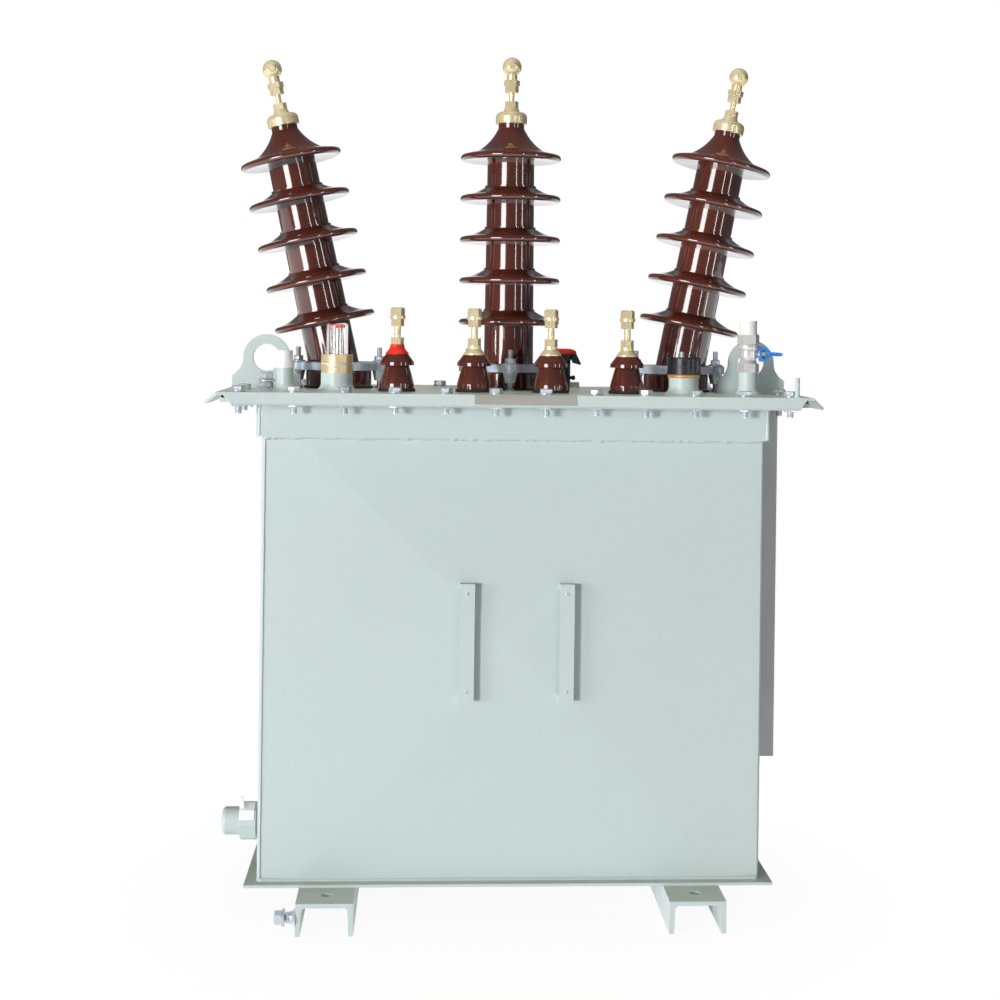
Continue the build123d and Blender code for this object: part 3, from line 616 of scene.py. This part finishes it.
def clamp_studs():
    """Studs and nuts of the three clamps, and the gasket under each tall bushing."""
    stud = thread(STUD_R, STUD_TOP - COVER, STUD_PITCH, STUD_DEPTH)
    ring = washer(STUD_WASHER_R, STUD_WASHER_BORE, STUD_WASHER_T)
    nut = hexagon(STUD_NUT_ACROSS, STUD_NUT, flat_foot=False)
    foot = lathe(STUD_FOOT, steps=24, closed=True)
    for side in ("left", "middle", "right"):
        centre = middle(f"hv_clamp_{side}")
        seat = high(f"hv_clamp_{side}").z
        studs, nuts, washers = [], [], []
        for k in range(STUDS):
            angle = 2 * math.pi * k / STUDS
            x = centre.x + STUD_CIRCLE * math.cos(angle)
            y = centre.y + STUD_CIRCLE * math.sin(angle)
            spin = CHANCE.uniform(0, 1)
            studs.append(placed(stud, (x, y, COVER)))
            washers.append(placed(ring, (x, y, seat)))
            nuts.append(placed(nut, (x, y, seat + STUD_WASHER_T), spin=spin))
            washers.append(placed(foot, (x, y, COVER)))
        piece(f"clamp_studs_{side}", studs, ZINC)
        piece(f"clamp_nuts_{side}", nuts, ZINC, bevel=FINE_BEVEL)
        piece(f"clamp_washers_{side}", washers, ZINC)
        gasket = placed(lathe(HV_GASKET, steps=64, closed=True), (centre.x, centre.y, COVER))
        piece(f"hv_foot_gasket_{side}", [gasket], GASKET)


clamp_studs()

LV_COUNT = 4
LV_GASKET = [(24.9, 0), (26.6, 0), (27.0, 1.2), (26.2, 4.2), (24.9, 4.6)]
RED_COLLAR = [
    (9.65, 0.1),
    (16.6, 0.1),
    (17.0, 1.0),
    (16.4, 2.2),
    (14.1, 4.4),
    (12.2, 6.8),
    (10.8, 9.2),
    (10.2, 13.8),
    (9.65, 14.2),
]


def lv_rings():
    """Black gasket rings under the short bushings, and the first one's red collar."""
    rings = []
    for n in range(1, LV_COUNT + 1):
        centre = middle(f"lv_porcelain_{n}")
        rings.append(placed(lathe(LV_GASKET, closed=True), (centre.x, centre.y, COVER)))
    piece("lv_foot_gaskets", rings, GASKET)
    collar = placed(lathe(RED_COLLAR, closed=True), at_foot("lv_terminal_1"))
    piece("lv_red_collar", [collar], RED)


lv_rings()

FLOAT_DISC = [(0, 0), (10.6, 0), (11.2, 0.8), (11.2, 3.4), (10.4, 4.4), (0, 4.6)]
FLOAT_DROP = 8.5
FLOAT_ROD_R = 1.6
FLOAT_ROD_DROP = 9.0


def gauge_float():
    """Red disc on a thin rod inside the glass."""
    room = high("gauge_glass").z - low("gauge_glass").z
    disc = placed(lathe(FLOAT_DISC, steps=40), at_foot("gauge_glass", room - FLOAT_DROP))
    stem = placed(rod(FLOAT_ROD_R, 0, room - FLOAT_ROD_DROP, steps=16), at_foot("gauge_glass"))
    piece("gauge_float", [disc], RED)
    piece("gauge_rod", [stem], ZINC)


gauge_float()

# Seal wire: past this share of its length, its loose end stands out and falls
SEAL_WIRE_R = 0.75
SEAL_SINK = 0.9
SEAL_START = -2.4
SEAL_TURNS = 2.15
SEAL_STEPS = 150
SEAL_RISE = 1.9 * SEAL_WIRE_R
SEAL_LOOSE_FROM = 0.93
SEAL_LOOSE_OUT = 2.5
SEAL_LOOSE_FALL = 3.4


def gauge_seal():
    """Sealing wire in the collar's groove, with its end hanging down in front."""
    start, end = low("gauge_collar"), high("gauge_collar")
    centre = middle("gauge_collar")
    reach = (end.x - start.x) / 2 - SEAL_SINK
    loop = []
    for k in range(SEAL_STEPS + 1):
        share = k / SEAL_STEPS
        angle = SEAL_START + 2 * math.pi * SEAL_TURNS * share
        rise = SEAL_RISE * share - SEAL_WIRE_R
        loose = max(0.0, share - SEAL_LOOSE_FROM) / (1 - SEAL_LOOSE_FROM) * SEAL_LOOSE_OUT
        r = reach + loose
        offset = Vector((r * math.cos(angle), r * math.sin(angle), rise - loose * SEAL_LOOSE_FALL))
        loop.append(centre + offset)
    wire = wire_tube(loop, SEAL_WIRE_R)
    piece("gauge_seal", [wire], WHITE, sharp=SOFT_ANGLE)


gauge_seal()

POCKET_RING = [(20.2, 0.1), (23.0, 0.1), (23.8, 1.6), (23.8, 3.6), (23.0, 5.1), (20.2, 5.1)]


def pocket_ring():
    """Copper sealing ring under the thermometer pocket's cap."""
    ring = placed(lathe(POCKET_RING, steps=56, closed=True), at_foot("pocket_cap"))
    piece("pocket_ring", [ring], COPPER)


pocket_ring()

# Relief device: its axis is this far from its left side; the lid's heights are from its top
RELIEF_AXIS = 22.5
LID_STEPS = 56
LID_RIM = [
    (17.5, -1.0),
    (22.6, -3.4),
    (22.6, -6.4),
    (23.8, -6.8),
    (24.4, -5.0),
    (24.0, -2.2),
    (18.6, 0.5),
    (17.5, 0.5),
]
LID_CROWN = [(0, 0.2), (17.6, 0.2), (17.6, 0.6), (14.0, 1.2), (0, 1.4)]
LEVER = [(12.0, -4.0), (23.0, -3.0), (31.5, -20.5), (30.0, -21.8), (19.0, -18.8), (17.0, -14.0)]
LEVER_WIDTH = 13.0
LEVER_DROP = 1.0
LEVER_BEVEL = 0.6
HINGE_R = 2.2
HINGE_HALF = 8.0
HINGE_OUT = 22.0
HINGE_DROP = 6.5
KNOB = [(0, 0), (3.4, 0), (3.4, 4.0), (2.6, 5.0), (0, 5.2)]
KNOB_OUT = 18.0
KNOB_RISE = 21.0


def relief_lid():
    """Red lid of the relief device with its black lever and test knob."""
    foot, top = low("relief_valve").z, high("relief_valve").z
    x = low("relief_valve").x + RELIEF_AXIS
    y = middle("relief_valve").y
    rim = placed(lathe(LID_RIM, LID_STEPS, closed=True), (x, y, top))
    crown = placed(lathe(LID_CROWN, LID_STEPS), (x, y, top))
    piece("relief_lid", [rim, crown], RED)
    lever = placed(wedge(LEVER, LEVER_WIDTH), (x, y, top - LEVER_DROP))
    pin = rod(HINGE_R, -HINGE_HALF, HINGE_HALF, steps=20)
    hinge = placed(pin, (x + HINGE_OUT, y, top - HINGE_DROP), REARWARD)
    knob = placed(lathe(KNOB, steps=24), (x + KNOB_OUT, y, foot + KNOB_RISE), RIGHTWARD)
    piece("relief_lever", [lever, hinge, knob], BLACK, bevel=LEVER_BEVEL)


relief_lid()

# Bare marking plate on the cover's front lip
PLATE_LEFT = -61.0
PLATE_RIGHT = 82.0
PLATE_HEIGHT = 12.6
PLATE_START = 0.8
PLATE_BACK, PLATE_FACE = 0.05, 0.9
LIP_OVERHANG = 63.0
LIP_ANGLE = 50.0


def marking_plate():
    slope = math.radians(LIP_ANGLE)
    down = Vector((0, -math.cos(slope), -math.sin(slope)))
    out = Vector((0, -math.sin(slope), math.cos(slope)))
    start, end = PLATE_START, PLATE_START + PLATE_HEIGHT / math.sin(slope)
    outline = ((PLATE_LEFT, start), (PLATE_RIGHT, start), (PLATE_RIGHT, end), (PLATE_LEFT, end))
    points = []
    for lift in (PLATE_BACK, PLATE_FACE):
        for x, along in outline:
            edge = Vector((x, -HALF_DEPTH - LIP_OVERHANG, COVER))
            points.append(tuple(edge + down * along + out * lift))
    piece("marking_plate", [(points, BOX_FACES)], PLATE, bevel=FINE_BEVEL)


marking_plate()

RIVET_INSET = 14.0
RIVET = [(1.1, 0.6), (1.7, 0.8), (2.9, 0.3), (3.2, 0.0), (2.0, -0.5), (1.1, -0.5)]
RIVET_HOLE_R = 1.2
RIVET_HOLE = (-0.6, -2.0)


def bracket_rivets():
    """Painted hollow rivets at the ends of the two plate strips."""
    head = lathe(RIVET, steps=28, closed=True)
    hole = rod(RIVET_HOLE_R, *RIVET_HOLE, steps=16)
    rivets = []
    for side in ("left", "right"):
        name = f"plate_bracket_{side}"
        for z in (low(name).z + RIVET_INSET, high(name).z - RIVET_INSET):
            place = middle(name).x, low(name).y, z
            rivets.append(placed(head, place, FORWARD))
            rivets.append(placed(hole, place, FORWARD))
    piece("bracket_rivets", rivets, PAINT)


bracket_rivets()

# Earthing screws: every rise is from the place that the screw stands on
SCREW_R = 4.9
SCREW_BORE = 5.0
SCREW_CROWN = 1.8
COVER_SCREW_AT = (SHIFT_X - 356.5, -90.0, COVER)
COVER_SCREW = {
    "foot": [(5.0, 0), (14.0, 0), (11.2, 1.6), (10.2, 4.2), (5.0, 4.2)],
    "bored": True,
    "nut": {"rise": 4.2, "across": 18.0, "height": 7.6, "spin": 0.2},
    "washer": {"rise": 12.4, "radius": 13.0, "thick": 2.6},
    "flange": [(0, 0), (9.2, 0), (10.8, 1.4), (9.2, 2.6), (0, 2.6)],
    "flange_rise": 15.0,
    "head": {"rise": 17.4, "across": 19.0, "height": 8.6, "spin": 0.5},
    "length": 18.0,
}
CHANNEL_SCREW_AT = (low("base_channel_left").x, -200.0, 23.0)
CHANNEL_SCREW = {
    "foot": [(0, 0), (14.0, 0), (12.0, 2.0), (9.0, 4.0), (8.6, 8.0), (0, 8.0)],
    "bored": False,
    "nut": {"rise": 8.0, "across": 13.0, "height": 6.0, "spin": 0.3},
    "washer": {"rise": 15.0, "radius": 12.4, "thick": 3.0},
    "flange": [(0, 0), (10.4, 0), (11.0, 1.0), (9.6, 2.4), (0, 2.4)],
    "flange_rise": 18.0,
    "head": {"rise": 20.4, "across": 17.0, "height": 9.0, "spin": 0.1},
    "length": 22.0,
}


def earth_screw(name, place, towards, screw):
    """Foot, nut, washer, flange and tall head over one another on a threaded shank."""
    nut, ring, head = screw["nut"], screw["washer"], screw["head"]
    levels = [
        (0.0, lathe(screw["foot"], steps=40, closed=screw["bored"]), 0.0),
        (nut["rise"], hexagon(nut["across"], nut["height"], flat_foot=False), nut["spin"]),
        (ring["rise"], washer(ring["radius"], SCREW_BORE, ring["thick"]), 0.0),
        (screw["flange_rise"], lathe(screw["flange"], steps=32), 0.0),
        (head["rise"], hexagon(head["across"], head["height"], SCREW_CROWN), head["spin"]),
        (0.0, thread(SCREW_R, screw["length"]), 0.0),
    ]
    foot, axis = Vector(place), Vector(towards)
    parts = [placed(part, foot + axis * rise, towards, spin) for rise, part, spin in levels]
    piece(name, parts, ZINC, bevel=FINE_BEVEL)


earth_screw("earth_bolt", COVER_SCREW_AT, UP, COVER_SCREW)
earth_screw("channel_terminal", CHANNEL_SCREW_AT, LEFTWARD, CHANNEL_SCREW)

HANDLE_PLATE_T = 2.5
HANDLE_NUT_ACROSS = 9.5
HANDLE_NUT = 4.5
HANDLE_NUT_CROWN = 0.6
HANDLE_NUT_BEVEL = 0.2


def handle_nut():
    """Hexagon nut that holds the blue handle on the stem, and turns with it."""
    centre = middle("valve_handle")
    place = low("valve_handle").x + HANDLE_PLATE_T, centre.y, centre.z
    nut = hexagon(HANDLE_NUT_ACROSS, HANDLE_NUT, HANDLE_NUT_CROWN, flat_foot=False)
    parts = [placed(nut, place, RIGHTWARD)]
    piece("handle_nut", parts, ZINC, body=HANDLE, bevel=HANDLE_NUT_BEVEL)


handle_nut()

GUIDE_PIN = [(0, 0), (5.2, 0), (3.6, 2.2), (3.3, 3.0), (3.3, 27.6), (2.8, 28.4), (0, 28.6)]
GUIDE_PIN_X = 398.0
GUIDE_PIN_Y = -178.0


def guide_pin():
    """Painted pin at the cover's right front corner."""
    pin = placed(lathe(GUIDE_PIN, steps=28), (GUIDE_PIN_X, GUIDE_PIN_Y, COVER))
    piece("guide_pin", [pin], PAINT)


guide_pin()

# Drain strip: its outline is (y, z) about the fitting's axis, its blade (x, z) at its left end
STRIP_OUT = 1.0
STRIP_LENGTH = 22.0
STRIP = [(-26.4, 8.0), (-21.0, 20.6), (-4.0, 27.6), (-3.4, 26.2), (-19.9, 19.4), (-25.0, 7.4)]
STRIP_BLADE = [(0.4, -9.0), (7.4, -9.0), (6.4, 2.0), (4.6, 10.6), (1.4, 12.0), (-0.6, 3.0)]
STRIP_BLADE_Y = -15.5
STRIP_BLADE_T = 2.6
STRIP_BEVEL = 0.5


def drain_strip():
    """White locking strip over the drain fitting, with its blade standing up."""
    left = low("drain_valve").x - STRIP_OUT
    centre = middle("drain_valve")
    points = [(left + x, centre.y + y, centre.z + z) for x in (0.0, STRIP_LENGTH) for y, z in STRIP]
    foot = left, centre.y + STRIP_BLADE_Y, high("drain_valve").z
    blade = placed(wedge(STRIP_BLADE, STRIP_BLADE_T), foot)
    strip = points, prism_faces(len(STRIP))
    piece("drain_strip", [strip, blade], WHITE, bevel=STRIP_BEVEL)


drain_strip()

# Welds; a tilt is the part of a bead's direction along Z, or along X for a joint
BEAD_POINTS = 7
BEAD_STEP = 2.2
BEAD_LEAST = 8
BEAD_RETURN = 0.3
BEAD_END_SHARE = 0.3
BEAD_RIPPLES = (-0.04, 0.07)
FOOT_BEAD = {"radius": 7.0, "rough": 0.06, "crown": 0.35}
FOOT_TILT = 0.8
RIM_BEAD = {"radius": 4.6, "rough": 0.2, "crown": 0.8}
RIM_TILT = -1
CORNER_BEAD = {"radius": 3.2, "rough": 0.05, "crown": 0.5}
CORNER_INSET_X = 0.8
CORNER_INSET_Y = 2.4
JOINT_BEAD = {"radius": 2.6, "rough": 0.22, "crown": 0.8}
JOINT_TILT = 0.3
JOINT_OUT_X = 5.0
JOINT_OUT_Y = 9.0
JOINT_RISE = 1.0


def weld_bead(start, end, towards, radius, rough, crown):
    """Row of overlapping ripples along a seam, swelling towards the side given."""
    start, end, towards = Vector(start), Vector(end), Vector(towards).normalized()
    along = end - start
    count = max(BEAD_LEAST, int(along.length / BEAD_STEP))
    side = along.normalized().cross(towards)
    points, faces = [], []
    swell = 1.0
    for k in range(count + 1):
        swell += BEAD_RETURN * (1.0 - swell) + CHANCE.uniform(-rough, rough)
        share = BEAD_END_SHARE if k in (0, count) else swell + BEAD_RIPPLES[k % 2]
        for j in range(BEAD_POINTS):
            angle = math.pi * j / (BEAD_POINTS - 1)
            offset = side * math.cos(angle) + towards * math.sin(angle) * crown
            points.append(tuple(start + along * (k / count) + offset * radius * share))
    for k in range(count):
        for j in range(BEAD_POINTS - 1):
            a = k * BEAD_POINTS + j
            faces.append((a, a + 1, a + BEAD_POINTS + 1, a + BEAD_POINTS))
    return points, faces


def tank_welds():
    """Beads along the base plate, the wall corners, under the rim and at its ends."""
    x, y = HALF_TANK, HALF_DEPTH
    foot, rim = high("base_plate").z, low("rim_angle").z
    beads = []
    for side in (-1, 1):
        for z, tilt, bead in ((foot, FOOT_TILT, FOOT_BEAD), (rim, RIM_TILT, RIM_BEAD)):
            front = (-x, side * y, z), (x, side * y, z)
            flank = (side * x, -y, z), (side * x, y, z)
            beads.append(weld_bead(*front, (0, side, tilt), **bead))
            beads.append(weld_bead(*flank, (side, 0, tilt), **bead))
        for end in (-1, 1):
            corner = side * (x - CORNER_INSET_X), end * (y - CORNER_INSET_Y)
            seam = (*corner, foot), (*corner, rim)
            beads.append(weld_bead(*seam, (side, end, 0), **CORNER_BEAD))
            joint = side * (x + JOINT_OUT_X), end * (y + JOINT_OUT_Y)
            seam = (*joint, rim + JOINT_RISE), (*joint, FLANGE_BOTTOM)
            beads.append(weld_bead(*seam, (side * JOINT_TILT, end, 0), **JOINT_BEAD))
    piece("tank_welds", beads, PAINT, sharp=SOFT_ANGLE)


tank_welds()

# Studio, in metres
FLOOR_HALF = 9.0
FLOOR_STEPS = 24
SHADOW_NEAR = 0.30
SHADOW_FAR = 0.62
GLOW_NEAR = 0.94


def make_floor():
    """Wide pale floor that shows only a soft shadow close to the object."""
    row = FLOOR_STEPS + 1
    ticks = [FLOOR_HALF * (2 * k / FLOOR_STEPS - 1) for k in range(row)]
    points = [(x, y, 0.0) for y in ticks for x in ticks]
    starts = [j * row + k for j in range(FLOOR_STEPS) for k in range(FLOOR_STEPS)]
    faces = [(a, a + 1, a + row + 1, a + row) for a in starts]
    mesh = bpy.data.meshes.new("floor")
    mesh.from_pydata(points, [], faces)
    floor = bpy.data.objects.new("floor", mesh)
    bpy.context.scene.collection.objects.link(floor)
    mesh.materials.append(floor_material())


def floor_material():
    """Pale matt floor; to lens and gloss it glows white, a little less close to the object."""
    dark, light = (0.92, 0.92, 0.92), (0.95, 0.95, 0.95)
    tree = mottled("studio_floor", dark, light, (0.8, 0.9), scale=1.5, bump=0.0)
    glow = tree.add("ShaderNodeEmission")
    glow.inputs["Strength"].default_value = 1.0
    path = tree.add("ShaderNodeLightPath")
    reach = tree.add("ShaderNodeVectorMath", operation="LENGTH")
    tree.link(tree.place, reach.inputs[0])
    far = tree.span(reach.outputs["Value"], GLOW_NEAR, 1.0, SHADOW_NEAR, SHADOW_FAR)
    seen = tree.combine("MAXIMUM", tree.seen_by_lens(path), path.outputs["Is Glossy Ray"])
    share = tree.combine("MULTIPLY", seen, far)
    shader = tree.blend(share, tree.shader.outputs["BSDF"], glow.outputs["Emission"])
    tree.link(shader, tree.nodes["Material Output"].inputs["Surface"])
    return tree.material


make_floor()

# Each lamp: azimuth in degrees from straight ahead, left negative, height, distance, size, power
LIT = (0, 0, 0.65)
SOFTBOXES = {
    "key_softbox": (-39, 1.2, 14.0, (2.2, 2.2), 1290),
    "side_softbox": (-67, 0.9, 12.0, (4.0, 4.0), 690),
    "fill_softbox": (22, 0.9, 9.0, (5.0, 3.5), 18),
    "top_softbox": (0, 4.5, 0.25, (2.4, 1.8), 84),
}
GLOSS_STRIPS = {
    "wide_strip": (-35, 1.25, 4.0, (1.6, 2.0), 85),
    "thin_strip": (26, 1.1, 4.0, (0.12, 2.2), 11),
    "edge_strip": (58, 1.1, 4.0, (0.25, 2.2), 12),
}


def area_light(name, azimuth, height, distance, size, power, in_gloss):
    """Lamp facing the object, seen either in gloss alone or in all but gloss."""
    data = bpy.data.lights.new(name, "AREA")
    data.shape = "RECTANGLE"
    data.size, data.size_y = size
    data.energy = power
    lamp = bpy.data.objects.new(name, data)
    bpy.context.scene.collection.objects.link(lamp)
    turn = math.radians(azimuth)
    lamp.location = (distance * math.sin(turn), -distance * math.cos(turn), height)
    lamp.rotation_euler = (Vector(LIT) - lamp.location).to_track_quat("-Z", "Y").to_euler()
    lamp.visible_glossy = in_gloss
    lamp.visible_diffuse = not in_gloss


def studio_lamps():
    """Far key and side light at the left, weak fill, top light, and strips seen in gloss."""
    for name, values in SOFTBOXES.items():
        area_light(name, *values, in_gloss=False)
    for name, values in GLOSS_STRIPS.items():
        area_light(name, *values, in_gloss=True)


SKY_TINT = (0.98, 0.99, 1.0, 1)
SKY_DIM = 0.16
SKY_SIDE = 0.12
BACKDROP_START, BACKDROP_END = 0.95, 0.995


def studio_sky():
    """White to the lens; to gloss, white behind the object and dim at its sides; else dim."""
    world = bpy.data.worlds.new("studio_sky")
    bpy.context.scene.world = world
    tree = Tree(world)
    sky = tree.nodes["Background"]
    sky.inputs["Color"].default_value = SKY_TINT
    white = tree.add("ShaderNodeBackground")
    white.inputs["Color"].default_value = (1, 1, 1, 1)
    white.inputs["Strength"].default_value = 1.0
    path = tree.add("ShaderNodeLightPath")
    rearward = tree.component(tree.add("ShaderNodeTexCoord").outputs["Generated"], "Y")
    backdrop = tree.span(rearward, SKY_SIDE, 1.0, BACKDROP_START, BACKDROP_END)
    strength = tree.add("ShaderNodeMix")
    tree.link(path.outputs["Is Glossy Ray"], strength.inputs[0])
    strength.inputs[2].default_value = SKY_DIM
    tree.link(backdrop, strength.inputs[3])
    tree.link(strength.outputs[0], sky.inputs["Strength"])
    shaders = sky.outputs["Background"], white.outputs["Background"]
    shader = tree.blend(tree.seen_by_lens(path), *shaders)
    tree.link(shader, tree.nodes["World Output"].inputs["Surface"])


studio_lamps()
studio_sky()
bpy.context.scene.view_settings.view_transform = "Standard"
